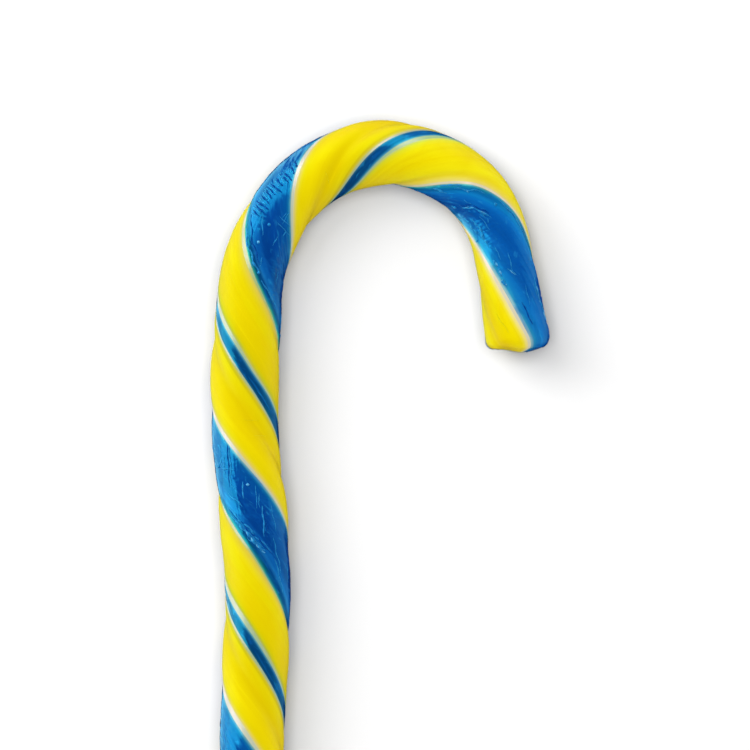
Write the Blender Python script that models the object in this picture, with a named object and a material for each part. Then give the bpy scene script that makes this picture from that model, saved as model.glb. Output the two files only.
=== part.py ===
"""Candy cane: a stick of pulled sugar, twisted left-handed, bent into a hook and lying on its side.

Metres, +Z up. The cane lies flat in the XY plane with its hook towards +Y, opening towards +X,
and rests on small flat spots at z = 0. The origin is the middle of its box, on the surface it lies on.
"""

import math

import bmesh
import bpy
import numpy as np
from mathutils import Matrix, Vector

MM = 0.001

# The stick's axis, from its lower end: each stretch is a length in mm and a turn in degrees, left positive.
START_HEADING = 88.7
STRETCHES = (
    (45.0, -1.0),  # lower shaft
    (51.1, 6.8),  # middle shaft, with a slight bow to the left
    (23.4, -7.6),  # upper shaft
    (30.7, -64.0),  # first, wider bend of the hook
    (34.6, -105.4),  # second, tighter bend
    (16.7, -0.3),  # straight leg down to the tip
)
BEND_EASE = 2.0  # mm over which one stretch's bend blends into the next
SAG_EASE = 9.0  # mm over which the warm stick sagged onto the worktop

# Mean radius along the stick: distance from the lower end and radius, in mm.
THICKNESS = (
    (0.0, 5.30),
    (22.0, 5.35),
    (45.0, 5.20),
    (83.0, 5.42),
    (115.0, 5.47),
    (132.0, 5.02),
    (152.0, 5.20),
    (172.0, 5.11),
    (183.0, 4.56),  # the neck where the hook runs into the leg
    (193.0, 4.86),
    (201.4, 5.13),  # the tip, squeezed slightly wider
)
THICKNESS_EASE = 2.5  # mm
NOMINAL_RADIUS = 5.5  # mm, to which the lobes and creases are measured

# Twist: the middle of the thin blue strand faces up at THIN_STRAND_UP, and again each PITCH.
THIN_STRAND_UP = 61.8  # mm from the lower end
PITCH = 47.0  # mm a turn
TIP_PITCH = 77.0  # mm a turn, where the twist slackens
SLACK_FROM = 171.7  # mm
SLACK_EASE = 3.3  # mm

# The section, by strand angle: 0 is the middle of the thin blue strand, and angles run towards +X.
# Each lobe or crease is its angle, its height in mm and its half-width in degrees.
OFF_CENTRE = (0.25, 170.0)  # how far the section's middle lies off the axis, and which way
LOBES = (
    (165.0, 0.33, 28.0),  # crown of the wide blue strand
    (260.0, 0.40, 24.0),  # crown of the second yellow strand
    (75.0, 0.24, 26.0),  # crown of the first yellow strand
)
CREASES = (
    (301.0, -0.34, 9.0),  # fold inside the second yellow strand
    (112.0, -0.32, 8.0),  # valley between the first yellow strand and the blue
    (342.0, -0.10, 5.0),  # thin groove beside the thin blue strand
)

END_ROUND = 1.5  # mm, rounding of the stick's ends
END_BULGE = 0.35  # mm, how far the end's middle stands out
FLAT_DEPTH = 0.2  # mm that the lowest places are pressed flat

# The tip was pinched while it was warm: the half of its face away from the shaft stands out,
# and the side beside that half is squeezed out into a foot.
TIP_SLANT = 0.9  # mm
TIP_SLANT_LENGTH = 3.0  # mm over which it grows
FOOT_HEIGHTS = ((182.0, 0.0), (188.0, 0.15), (196.0, 0.2), (199.0, 0.45), (202.0, 0.5))  # distance, height in mm
FOOT_TURN = -84.0  # degrees from facing up, towards the outside of the hook
FOOT_WIDTH = 30.0  # degrees

SECTION_POINTS = 38
STEP = 2.0  # mm between sections
FINE_STEP = 0.1  # mm, for adding up the axis


def eased(values, reach):
    """Values along the stick, blended by a bell of the given reach in mm, ends carried on straight."""
    sigma = reach / FINE_STEP
    half = int(4 * sigma)
    bell = np.exp(-0.5 * (np.arange(-half, half + 1) / sigma) ** 2)
    steps = np.arange(1, half + 1)
    before = values[0] - steps[::-1] * (values[1] - values[0])
    after = values[-1] + steps * (values[-1] - values[-2])
    return np.convolve(np.concatenate([before, values, after]), bell / bell.sum(), mode="valid")


def total_length():
    return sum(length for length, _ in STRETCHES)


def fine_distances():
    return np.linspace(0.0, total_length(), int(round(total_length() / FINE_STEP)) + 1)


def axis():
    """Points of the stick's axis in mm, one for each fine distance."""
    along = fine_distances()
    ends = np.cumsum([0.0] + [length for length, _ in STRETCHES])
    headings = np.cumsum([START_HEADING] + [turn for _, turn in STRETCHES])
    heading = np.radians(eased(np.interp(along, ends, headings), BEND_EASE))
    step = along[1]
    x = np.cumsum(np.cos(heading)) * step
    y = np.cumsum(np.sin(heading)) * step
    return np.column_stack([x, y, eased(reach_down(), SAG_EASE)])


def thickness():
    """Mean radius in mm, one for each fine distance."""
    places, radii = zip(*THICKNESS)
    return eased(np.interp(fine_distances(), places, radii), THICKNESS_EASE)


def strand_facing_up(distance):
    """Strand angle in degrees that faces up at a distance from the lower end."""
    turned = (distance - THIN_STRAND_UP) * 360.0 / PITCH
    past = max(distance - SLACK_FROM, 0.0)
    eased_past = past * past / (2 * SLACK_EASE) if past < SLACK_EASE else past - SLACK_EASE / 2
    return turned - eased_past * (360.0 / PITCH - 360.0 / TIP_PITCH)


def section_radius(angle):
    """Radius in mm of the nominal section at a strand angle in degrees."""
    shift, towards = OFF_CENTRE
    radius = NOMINAL_RADIUS + shift * math.cos(math.radians(angle - towards))
    for centre, height, width in LOBES + CREASES:
        away = (angle - centre + 180.0) % 360.0 - 180.0
        radius += height * math.exp(-0.5 * (away / width) ** 2)
    return radius


def reach_down():
    """How far the section reaches below the axis in mm, one for each fine distance."""
    angles = np.arange(0.0, 360.0, 5.0)
    radii = np.array([section_radius(angle) for angle in angles])
    reach = []
    for distance, radius in zip(fine_distances(), thickness()):
        from_below = np.radians(angles - strand_facing_up(distance) - 180.0)
        reach.append(radius / NOMINAL_RADIUS * np.max(radii * np.cos(from_below)))
    return np.array(reach)


def stations():
    """Distance and share of the full radius at each section, with the rounding of both ends."""
    length = total_length()
    quarter = [math.radians(a) for a in (12, 30, 50, 70, 90)]
    # From the end's bulging middle out to its corner, then round the corner.
    rim = 1.0 - END_ROUND / NOMINAL_RADIUS
    rounding = [(END_BULGE * 0.1, 0.3 * rim), (END_BULGE * 0.5, 0.72 * rim)]
    for a in quarter:
        reach = END_BULGE + END_ROUND * (1.0 - math.cos(a))
        rounding.append((reach, rim + (1.0 - rim) * math.sin(a)))
    first = rounding[-1][0] + STEP * 0.6
    count = int(round((length - 2 * first) / STEP))
    middle = [(first + (length - 2 * first) * i / count, 1.0) for i in range(count + 1)]
    return rounding + middle + [(length - d, share) for d, share in reversed(rounding)]


def make_section(collection):
    """The closed outline that is swept along the stick, one strand angle a point."""
    curve = bpy.data.curves.new("strand_section", "CURVE")
    curve.dimensions = "2D"
    spline = curve.splines.new("POLY")
    spline.points.add(SECTION_POINTS - 1)
    for i, point in enumerate(spline.points):
        angle = 360.0 * i / SECTION_POINTS
        radius = section_radius(angle) * MM
        turn = math.radians(angle)
        point.co = (radius * math.sin(turn), radius * math.cos(turn), 0.0, 1.0)
    spline.use_cyclic_u = True
    section = bpy.data.objects.new("strand_section", curve)
    section.hide_render = True
    section.display_type = "WIRE"
    collection.objects.link(section)
    return section


def make_stick(section, collection):
    """The twisted stick as a swept curve, its tilt following the twist."""
    curve = bpy.data.curves.new("stick", "CURVE")
    curve.dimensions = "3D"
    curve.twist_mode = "Z_UP"
    curve.bevel_mode = "OBJECT"
    curve.bevel_object = section
    curve.use_fill_caps = True
    points, radii, along = axis(), thickness(), fine_distances()
    places = stations()
    spline = curve.splines.new("POLY")
    spline.points.add(len(places) - 1)
    for point, (distance, share) in zip(spline.points, places):
        x, y, z = (np.interp(distance, along, points[:, k]) * MM for k in range(3))
        point.co = (x, y, z, 1.0)
        point.radius = np.interp(distance, along, radii) / NOMINAL_RADIUS * share
        point.tilt = -math.radians(strand_facing_up(distance))
    stick = bpy.data.objects.new("stick", curve)
    collection.objects.link(stick)
    return stick


def as_mesh(stick, name, collection):
    """The evaluated curve as a mesh of its own, with its caps welded on."""
    bpy.context.view_layer.update()
    evaluated = stick.evaluated_get(bpy.context.evaluated_depsgraph_get())
    mesh = bpy.data.meshes.new_from_object(evaluated)
    mesh.name = name
    shape = bmesh.new()
    shape.from_mesh(mesh)
    bmesh.ops.remove_doubles(shape, verts=shape.verts, dist=1e-6)
    bmesh.ops.recalc_face_normals(shape, faces=shape.faces)
    shape.to_mesh(mesh)
    shape.free()
    piece = bpy.data.objects.new(name, mesh)
    piece.matrix_world = stick.matrix_world
    collection.objects.link(piece)
    bpy.data.objects.remove(stick)
    return piece


def pinch_tip(piece):
    """Gives the tip its foot and its slanting face."""
    points, along = axis() * MM, fine_distances()
    length = total_length()
    tangent = np.gradient(points, axis=0)
    tangent /= np.linalg.norm(tangent, axis=1)[:, None]
    up = np.array([0.0, 0.0, 1.0]) - tangent * tangent[:, 2:3]
    up /= np.linalg.norm(up, axis=1)[:, None]
    side = np.cross(tangent, up)
    near_end = along > FOOT_HEIGHTS[0][0]
    for vertex in piece.data.vertices:
        place = np.array(vertex.co)
        if np.linalg.norm(place - points[-1]) > (length - FOOT_HEIGHTS[0][0]) * MM:
            continue
        reach = np.linalg.norm(points[near_end] - place, axis=1)
        here = np.flatnonzero(near_end)[np.argmin(reach)]
        spoke = place - points[here]
        aside, above = spoke @ side[here], spoke @ up[here]
        turn = math.degrees(math.atan2(aside, above))
        share = min(math.hypot(aside, above) / (5.0 * MM), 1.0)
        bell = math.exp(-0.5 * ((turn - FOOT_TURN) / FOOT_WIDTH) ** 2)
        foot = np.interp(along[here], *zip(*FOOT_HEIGHTS)) * bell * share * MM
        near_tip = max(along[here] - length + TIP_SLANT_LENGTH, 0.0) / TIP_SLANT_LENGTH
        outside = min(max((0.45 - aside / (5.5 * MM)) / 0.75, 0.0), 1.0)
        slant = TIP_SLANT * MM * near_tip**2 * outside * outside * (3.0 - 2.0 * outside)
        way = (side[here] * aside + up[here] * above) / max(math.hypot(aside, above), 1e-9)
        vertex.co = Vector(place + way * foot + tangent[here] * slant)


def settle(piece):
    """Stands the mesh's box centred on the origin, its underside pressed flat against z = 0."""
    corners = np.array([vertex.co for vertex in piece.data.vertices])
    low, high = corners.min(axis=0), corners.max(axis=0)
    middle = (low + high) / 2
    shift = Vector((-middle[0], -middle[1], -low[2] - FLAT_DEPTH * MM))
    piece.data.transform(Matrix.Translation(shift))
    for vertex in piece.data.vertices:
        vertex.co.z = max(vertex.co.z, 0.0)


def sugar_material():
    """Glossy boiled sugar, in the yellow that covers most of the stick."""
    material = bpy.data.materials.new("yellow_sugar")
    material.use_nodes = True
    shader = material.node_tree.nodes["Principled BSDF"]
    shader.inputs["Base Color"].default_value = (0.83, 0.71, 0.003, 1.0)
    shader.inputs["Roughness"].default_value = 0.35
    shader.inputs["Metallic"].default_value = 0.0
    return material


def new_collection(name):
    collection = bpy.data.collections.new(name)
    bpy.context.scene.collection.children.link(collection)
    return collection


def build():
    for thing in list(bpy.data.objects):
        bpy.data.objects.remove(thing)
    parts = new_collection("Candy cane")
    guides = new_collection("Guides")
    section = make_section(guides)
    stick = make_stick(section, parts)
    cane = as_mesh(stick, "candy_cane", parts)
    cane.data.materials.clear()
    cane.data.materials.append(sugar_material())
    cane.data.shade_smooth()
    pinch_tip(cane)
    settle(cane)


build()
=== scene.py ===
"""Candy cane: the finish of a hook of pulled sugar, twisted from a cream core and four coloured strands.

The core and the strands are swept by Geometry Nodes along the stick's axis, between the same strand
angles as the solid's lobes. Angles across the stick are strand angles: 0 lies on the thin blue
strand, and on the shaft they run towards +X. The stick's own lengths are in mm. Those of the stage
and those that Blender shows as lengths are in metres.
"""

import math
import random

import bmesh
import bpy
import numpy as np
from bpy.props import FloatProperty, FloatVectorProperty, IntProperty, PointerProperty
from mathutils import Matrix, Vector


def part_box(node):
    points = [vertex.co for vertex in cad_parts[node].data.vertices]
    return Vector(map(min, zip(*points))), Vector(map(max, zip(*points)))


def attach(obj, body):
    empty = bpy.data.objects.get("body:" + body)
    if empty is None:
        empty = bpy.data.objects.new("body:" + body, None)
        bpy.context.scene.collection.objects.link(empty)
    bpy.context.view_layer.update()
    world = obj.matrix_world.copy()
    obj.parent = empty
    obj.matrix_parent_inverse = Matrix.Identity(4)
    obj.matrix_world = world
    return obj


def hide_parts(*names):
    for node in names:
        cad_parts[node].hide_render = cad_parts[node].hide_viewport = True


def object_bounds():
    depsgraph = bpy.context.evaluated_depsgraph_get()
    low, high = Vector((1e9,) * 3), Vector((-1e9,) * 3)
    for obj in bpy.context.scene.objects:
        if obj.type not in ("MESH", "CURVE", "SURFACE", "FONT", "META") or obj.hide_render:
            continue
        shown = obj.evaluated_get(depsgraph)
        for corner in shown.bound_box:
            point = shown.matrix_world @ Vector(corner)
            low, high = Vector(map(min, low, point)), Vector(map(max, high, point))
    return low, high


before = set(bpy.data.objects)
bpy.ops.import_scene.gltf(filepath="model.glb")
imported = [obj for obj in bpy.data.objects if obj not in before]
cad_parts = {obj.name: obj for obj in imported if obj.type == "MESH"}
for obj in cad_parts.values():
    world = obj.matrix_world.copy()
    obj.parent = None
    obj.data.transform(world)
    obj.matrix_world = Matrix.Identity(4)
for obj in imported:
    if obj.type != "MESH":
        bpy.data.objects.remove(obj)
CAD_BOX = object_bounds()

bl_info = {
    "name": "Candy cane",
    "version": (1, 0, 0),
    "blender": (4, 5, 0),
    "location": "View3D > Sidebar > Candy cane",
    "description": "Makes a twisted sugar candy cane, strand by strand",
    "category": "Add Mesh",
}

MM = 0.001
BODY = "root"
NODE = "candy_cane"

# The stick's axis, from its lower end: each stretch is a length in mm and a turn in degrees, left positive.
START_HEADING = 88.7
STRETCHES = (
    (45.0, -1.0),  # lower shaft
    (51.1, 6.8),  # middle shaft, with a slight bow to the left
    (23.4, -7.6),  # upper shaft
    (30.7, -64.0),  # first, wider bend of the hook
    (34.6, -105.4),  # second, tighter bend
    (16.7, -0.3),  # straight leg down to the tip
)
BEND_EASE = 2.0  # mm over which one stretch's bend blends into the next
SAG_EASE = 9.0  # mm over which the height of the axis is evened out

# Mean radius along the stick: distance from the lower end and radius, in mm.
THICKNESS = (
    (0.0, 5.30),
    (22.0, 5.35),
    (45.0, 5.20),
    (83.0, 5.42),
    (115.0, 5.47),
    (132.0, 5.02),
    (152.0, 5.20),
    (172.0, 5.11),
    (183.0, 4.56),
    (193.0, 4.86),
    (201.4, 5.13),
)
THICKNESS_EASE = 2.5  # mm over which one thickness blends into the next
NOMINAL_RADIUS = 5.5  # mm, of the section that the lobes and creases are laid on

THIN_STRAND_UP = 61.8  # mm from the lower end, where the thin blue strand faces up
SLACK_FROM = 171.7  # mm from the lower end, where the twist begins to slacken towards the tip
SLACK_EASE = 3.3  # mm over which it does

OFF_CENTRE = (0.25, 170.0)  # mm by which the section is off the axis, and the strand angle towards which
# The section's lobes and creases: strand angle, height in mm and half-width in degrees.
LOBES = (
    (165.0, 0.33, 28.0),
    (260.0, 0.40, 24.0),
    (75.0, 0.24, 26.0),
)
CREASES = (
    (301.0, -0.34, 9.0),
    (112.0, -0.32, 8.0),
    (342.0, -0.10, 5.0),
)

END_ROUND = 1.5  # mm, the rounding of an end's rim
END_BULGE = 0.35  # mm by which an end's face bulges
FLAT_DEPTH = 0.2  # mm of the section that lying on the worktop has flattened
FINE_STEP = 0.1  # mm between the places at which the stick's values are worked out
CORE_SHARE = 0.3  # of the radius, where the coloured strands end and the cream core begins
FACE_SHARE = 0.3  # of the radius, where an end's face is taken to reach furthest out
END_ANGLES = 12  # sections round an end's corner
END_RINGS = 8  # sections across an end's face
HIDDEN_COLUMNS = 8  # points across a strand's hidden back
SEAM_COLUMNS = 6  # points across a seam
YELLOW_COLUMNS = 60  # points across the skin of a yellow strand
WIDE_COLUMNS = 66  # points across the skin of the wide blue strand
THIN_COLUMNS = 18  # points across the skin of the thin blue strand

# Where each strand lies, in strand angles. A seam of cream sugar follows each of them.
THIN_BLUE = (-16.0, 7.5)
BROAD_YELLOW = (10.5, 115.5)
WIDE_BLUE = (117.5, 228.5)
CREASED_YELLOW = (232.5, 340.5)
STRANDS = (THIN_BLUE, BROAD_YELLOW, WIDE_BLUE, CREASED_YELLOW)
NEXT_STARTS = [start for start, _ in STRANDS[1:]] + [THIN_BLUE[0] + 360.0]  # of the strand after each

# How each strand's following seam strays and widens where the sugar was pulled unevenly:
# distance from the lower end in mm, how far the seam has strayed and how much wider it is, in degrees.
SEAM_STRAYS = (
    (
        (45.0, 2.0, 0.0), (58.0, 0.8, 1.0), (64.0, 5.5, 3.0), (67.0, 4.0, 9.0),
        (70.0, 1.5, 10.0), (76.0, 0.0, 2.0), (101.0, 4.0, 0.0), (107.0, 0.0, 0.0),
        (112.0, 4.5, 3.0), (117.0, 3.0, 8.0), (122.0, 2.0, 2.0), (149.0, 11.0, 0.0),
        (156.0, 6.5, 0.0), (159.0, 5.0, 7.0), (164.0, 2.5, 6.0), (170.0, 0.0, 1.0),
    ),
    (
        (62.0, -12.0, 0.0), (69.0, -11.0, 0.0), (74.0, -6.5, 0.0), (77.0, -0.5, 0.5),
        (81.0, 1.5, 5.0), (85.0, 4.5, 7.0), (100.0, 0.0, 0.0), (115.0, 0.0, 0.0),
        (122.0, 4.5, 1.0), (127.0, 4.0, 8.0), (131.0, 3.5, 9.0), (150.0, 4.0, 0.0),
        (163.0, 11.0, 3.0), (171.0, 7.5, 3.0), (175.0, 5.5, 4.0), (181.0, -10.0, 1.0),
        (190.0, -14.0, 0.0),
    ),
    (
        (45.0, 6.5, 2.0), (49.0, 5.0, 8.0), (53.0, 2.0, 9.0), (84.0, -1.0, -1.0),
        (92.0, 1.0, 0.0), (97.0, 3.5, 5.0), (101.0, 0.0, 5.0), (131.0, 7.5, 0.0),
        (138.0, 3.5, 1.0), (144.0, -1.0, 5.0), (148.0, -2.5, 2.0), (182.0, 7.5, 1.0),
        (188.0, 2.0, 2.0), (193.0, 1.0, 3.0), (201.0, 4.5, 1.5),
    ),
    (
        (50.0, 1.5, 0.0), (62.0, 0.5, 1.5), (67.0, -3.0, 1.5), (98.0, -3.8, 0.0),
        (106.0, 1.0, 0.0), (115.0, 0.5, 1.0), (147.0, 4.0, 0.0), (158.0, 4.0, 1.5),
        (163.0, 0.0, 1.0),
    ),
)
STRAY_EASE = 1.6  # mm over which one stray blends into the next

# The tip was pinched while it was warm: the half of its face away from the shaft stands out,
# and the side beside that half is squeezed out into a foot.
TIP_SLANT = 0.9  # mm
TIP_SLANT_LENGTH = 3.0  # mm over which it grows
TIP_SLANT_SPAN = (0.45, -0.3)  # shares of the radius across the face, where it begins and is full
FOOT_HEIGHTS = ((182.0, 0.0), (188.0, 0.15), (196.0, 0.2), (199.0, 0.45), (202.0, 0.5))  # at distances, mm
FOOT_TURN = -84.0  # degrees from facing up, towards the outside of the hook
FOOT_WIDTH = 30.0  # degrees

# The relief that pulling, rolling and bending left.
UNEVENNESS = 0.00012  # metres by which the whole skin swells and sinks
LUMP_SCALE = 0.11  # swellings a mm
WANDER_SCALE = 0.16  # turns of a straying border a mm
RELIEF_FADE = 4.0  # degrees over which a strand's relief fades out at its borders
SCRATCH_SIZE = (0.7, 9.0)  # mm wide and long
WRINKLE_LENGTH = 3.5  # mm
PATCH_SCALE = 0.23  # how much finer the lines are than the patches in which they fade in and out
PATCH_EDGES = (0.08, 0.1)  # softness of a patch's edge, as parts of its noise
SHARP_EDGE = 40.0  # degrees between two faces, from where their edge is drawn sharp


class CaneSizes(bpy.types.PropertyGroup):
    """Sizes of the twist and of the sugar's relief."""

    pitch: FloatProperty(
        name="Pitch", description="Length of one full turn of the twist, in mm", default=47.0, min=20.0
    )
    tip_pitch: FloatProperty(
        name="Tip pitch", description="Length of one turn near the tip, in mm", default=77.0, min=20.0
    )
    grain: FloatProperty(
        name="Mesh step", description="Distance between a strand's sections, in mm", default=0.17, min=0.1
    )
    flow_height: FloatProperty(
        name="Flow lines",
        description="Height of the ridges that pulling leaves along a strand",
        default=0.00007,
        min=0.0,
        unit="LENGTH",
    )
    wrinkle_height: FloatProperty(
        name="Wrinkles",
        description="Height of the short wrinkles that bending and rolling leave",
        default=0.00006,
        min=0.0,
        unit="LENGTH",
    )
    wander: FloatProperty(
        name="Wander", description="How far a strand's border strays, in degrees", default=0.5
    )
    seed: IntProperty(name="Seed", description="Changes the relief's pattern", default=4)


def from_hex(code):
    """An sRGB hex colour as linear red, green, blue and alpha."""
    channels = [int(code[i : i + 2], 16) / 255.0 for i in (0, 2, 4)]
    return tuple(c / 12.92 if c <= 0.04045 else ((c + 0.055) / 1.055) ** 2.4 for c in channels) + (1.0,)


def colour_property(label, description, code):
    return FloatVectorProperty(
        name=label,
        description=description,
        default=from_hex(code)[:3],
        subtype="COLOR",
        min=0.0,
        max=1.0,
        size=3,
    )


class CaneColours(bpy.types.PropertyGroup):
    """Colours of the sugar that is the same all along the stick."""

    cream: colour_property("Cream sugar", "Colour of the fine specks in the core's seams", "b4b8a4")
    # Partly painted highlight: the blue threads are lighter than the strand for the glints along them.
    blue_thread: colour_property("Blue threads", "Colour of the threads drawn out on the blue", "1f7cc2")
    # Painted glint: the pale colour of the beads and the thinnest threads.
    pale_thread: colour_property("Pale threads", "Colour of the thinnest threads and bubbles", "62aedd")
    # Painted shade: the colour of the dark threads that stand for the shaded hollows.
    blue_hollow: colour_property("Blue hollows", "Colour of the hollows beside the threads", "01429a")
    yellow_thread: colour_property("Yellow threads", "Colour of the wrinkles on the yellow", "f0dc0a")


def add_node(tree, kind, inputs=None, **settings):
    """Adds a node. Each input is named or numbered, and holds a value, a socket or a node's first output."""
    node = tree.nodes.new(kind)
    for name, value in settings.items():
        setattr(node, name, value)
    for place, value in (inputs or {}).items():
        socket = node.inputs[place]
        if isinstance(value, bpy.types.Node):
            value = value.outputs[0]
        if isinstance(value, bpy.types.NodeSocket):
            tree.links.new(value, socket)
        else:
            socket.default_value = value
    return node


# The stick's form


def eased(values, reach):
    """Values along the stick, blended by a bell of the given reach in mm, ends carried on straight."""
    sigma = reach / FINE_STEP
    half = int(4 * sigma)
    weights = np.exp(-0.5 * (np.arange(-half, half + 1) / sigma) ** 2)
    steps = np.arange(1, half + 1)
    before = values[0] - steps[::-1] * (values[1] - values[0])
    after = values[-1] + steps * (values[-1] - values[-2])
    carried_on = np.concatenate([before, values, after])
    return np.convolve(carried_on, weights / weights.sum(), mode="valid")


def bell(angle, centre, width):
    """A bell round an angle, 1 at its centre. All are in degrees."""
    away = (angle - centre + 180.0) % 360.0 - 180.0
    return np.exp(-0.5 * (away / width) ** 2)


def section_radius(angle):
    """Radius in mm of the nominal section at strand angles in degrees."""
    shift, towards = OFF_CENTRE
    radius = NOMINAL_RADIUS + shift * np.cos(np.radians(angle - towards))
    for centre, height, width in LOBES + CREASES:
        radius = radius + height * bell(angle, centre, width)
    return radius


class Stick:
    """The stick's axis, thickness and twist, from the driving sizes. Distances are mm from its lower end."""

    def __init__(self, sizes):
        self.length = sum(length for length, _ in STRETCHES)
        self.along = np.linspace(0.0, self.length, int(round(self.length / FINE_STEP)) + 1)
        places, radii = zip(*THICKNESS)
        self.radius = eased(np.interp(self.along, places, radii), THICKNESS_EASE)
        past = np.maximum(self.along - SLACK_FROM, 0.0)
        eased_past = np.where(past < SLACK_EASE, past * past / (2 * SLACK_EASE), past - SLACK_EASE / 2)
        self.facing = (self.along - THIN_STRAND_UP) * 360.0 / sizes.pitch
        self.facing -= eased_past * (360.0 / sizes.pitch - 360.0 / sizes.tip_pitch)
        self.axis = self.find_axis()
        tangent = np.gradient(self.axis, axis=0)
        tangent /= np.linalg.norm(tangent, axis=1)[:, None]
        up = np.array([0.0, 0.0, 1.0]) - tangent * tangent[:, 2:3]
        self.up = up / np.linalg.norm(up, axis=1)[:, None]
        self.side = np.cross(tangent, self.up)
        self.lengthwise = tangent
        self.settle()

    def find_axis(self):
        ends = np.cumsum([0.0] + [length for length, _ in STRETCHES])
        headings = np.cumsum([START_HEADING] + [turn for _, turn in STRETCHES])
        heading = np.radians(eased(np.interp(self.along, ends, headings), BEND_EASE))
        step = self.along[1]
        x = np.cumsum(np.cos(heading)) * step
        y = np.cumsum(np.sin(heading)) * step
        return np.column_stack([x, y, eased(self.reach_down(), SAG_EASE)])

    def reach_down(self):
        """How far the section reaches below the axis, so that the stick lies on the worktop."""
        angles = np.arange(0.0, 360.0, 5.0)
        from_below = np.radians(angles[None, :] - self.facing[:, None] - 180.0)
        return self.radius / NOMINAL_RADIUS * np.max(section_radius(angles) * np.cos(from_below), axis=1)

    def settle(self):
        """Moves the axis to where the solid lies in the frame."""
        angles = np.arange(0.0, 360.0, 3.0)[None, :]
        inner = (self.along > END_ROUND + END_BULGE) & (self.along < self.length - END_ROUND - END_BULGE)
        skin = self.place(self.along[inner][:, None], angles)
        low, high = skin.min(axis=(0, 1)), skin.max(axis=(0, 1))
        tips = self.place(np.array([[0.0], [self.length]]), angles, share=FACE_SHARE)
        low[:2] = np.minimum(low, tips.min(axis=(0, 1)))[:2]
        high[:2] = np.maximum(high, tips.max(axis=(0, 1)))[:2]
        cad_low, cad_high = (np.array(corner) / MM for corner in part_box(NODE))
        shift = (cad_low + cad_high) / 2 - (low + high) / 2
        shift[2] = -low[2] - FLAT_DEPTH
        self.axis = self.axis + shift

    def at(self, values, distance):
        """A value, or a vector, read at distances along the stick."""
        if values.ndim == 1:
            return np.interp(distance, self.along, values)
        return np.stack([np.interp(distance, self.along, values[:, k]) for k in range(3)], axis=-1)

    def foot(self, distance):
        """How far the foot stands out at distances along the stick."""
        return np.interp(distance, *zip(*FOOT_HEIGHTS))

    def place(self, distance, angle, share=1.0):
        """Points in mm at distances, strand angles and a share of the way out to the stick's skin."""
        distance, angle = np.broadcast_arrays(np.asarray(distance, float), np.asarray(angle, float))
        turned = angle - self.at(self.facing, distance)
        turn = np.radians(turned)[..., None]
        foot = self.foot(distance) * bell(turned, FOOT_TURN, FOOT_WIDTH)
        thickness = self.at(self.radius, distance) / NOMINAL_RADIUS
        radius = thickness * (section_radius(angle) + foot) * share
        way = np.cos(turn) * self.at(self.up, distance) + np.sin(turn) * self.at(self.side, distance)
        return self.at(self.axis, distance) + radius[..., None] * way

    def stations(self, step, from_share=0.0):
        """Distance and share of the full radius at each section, with the rounding of both ends."""
        rim = 1.0 - END_ROUND / NOMINAL_RADIUS
        face = [rim * (i + 0.5) / END_RINGS for i in range(END_RINGS)]
        rounding = [(END_BULGE * (share / rim) ** 2, share) for share in face]
        for i in range(END_ANGLES + 1):
            turn = math.pi / 2 * i / END_ANGLES
            reach = END_BULGE + END_ROUND * (1.0 - math.cos(turn))
            rounding.append((reach, rim + (1.0 - rim) * math.sin(turn)))
        rounding = [(distance, share) for distance, share in rounding if share > from_share]
        first = rounding[-1][0] + step
        count = int(round((self.length - 2 * first) / step))
        middle = [(first + (self.length - 2 * first) * i / count, 1.0) for i in range(count + 1)]
        return rounding + middle + [(self.length - d, share) for d, share in reversed(rounding)]


def chain(count, first=0):
    """Edges that join points one after another."""
    return [(first + i, first + i + 1) for i in range(count - 1)]


def line_mesh(name, points, edges, **values):
    """A mesh of points and the edges between them, with the values kept as named attributes."""
    mesh = bpy.data.meshes.new(name)
    mesh.from_pydata([tuple(p) for p in points], edges, [])
    for key, numbers in values.items():
        numbers = np.asarray(numbers, dtype=np.float32)
        if numbers.ndim == 2:
            attribute = mesh.attributes.new(key, "FLOAT_VECTOR", "POINT")
            attribute.data.foreach_set("vector", numbers.ravel())
        else:
            attribute = mesh.attributes.new(key, "FLOAT", "POINT")
            attribute.data.foreach_set("value", numbers)
    return mesh


def rail_mesh(stick, step, from_share):
    """The stick's axis as a line that knows its distance, twist, thickness and directions."""
    distance, share = (np.array(column) for column in zip(*stick.stations(step, from_share)))
    points = stick.at(stick.axis, distance) * MM
    seams = {}
    for i, points_of_seam in enumerate(SEAM_STRAYS):
        places, strays, widths = zip(*points_of_seam)
        for name, values in (("stray", strays), ("spread", widths)):
            blended = eased(np.interp(stick.along, places, values), STRAY_EASE)
            seams[f"{name}_{i}"] = stick.at(blended, distance)
    near_tip = np.clip((distance - stick.length + TIP_SLANT_LENGTH) / TIP_SLANT_LENGTH, 0.0, 1.0)
    return line_mesh(
        "rail",
        points,
        chain(len(points)),
        distance=distance,
        facing=stick.at(stick.facing, distance),
        thickness=stick.at(stick.radius, distance) / NOMINAL_RADIUS,
        end_share=share,
        axis_place=points,
        up_way=stick.at(stick.up, distance),
        side_way=stick.at(stick.side, distance),
        slant_way=stick.at(stick.lengthwise, distance) * (TIP_SLANT * MM * near_tip**2)[:, None],
        foot=stick.foot(distance),
        **seams,
    )


def skin_points(start, end, columns):
    """Outer points of a section between two strand angles: angle, share of the radius and of the relief."""
    rows = []
    for i in range(columns + 1):
        angle = start + (end - start) * i / columns
        near = min(angle - start, end - angle) / RELIEF_FADE
        share = min(max(near, 0.0), 1.0)
        rows.append((angle, 1.0, share * share * (3.0 - 2.0 * share)))
    return rows


def hidden_points(start, end):
    """Points of a section under a strand, between two strand angles."""
    columns = range(HIDDEN_COLUMNS + 1)
    return [(start + (end - start) * i / HIDDEN_COLUMNS, CORE_SHARE, 0.0) for i in columns]


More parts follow.
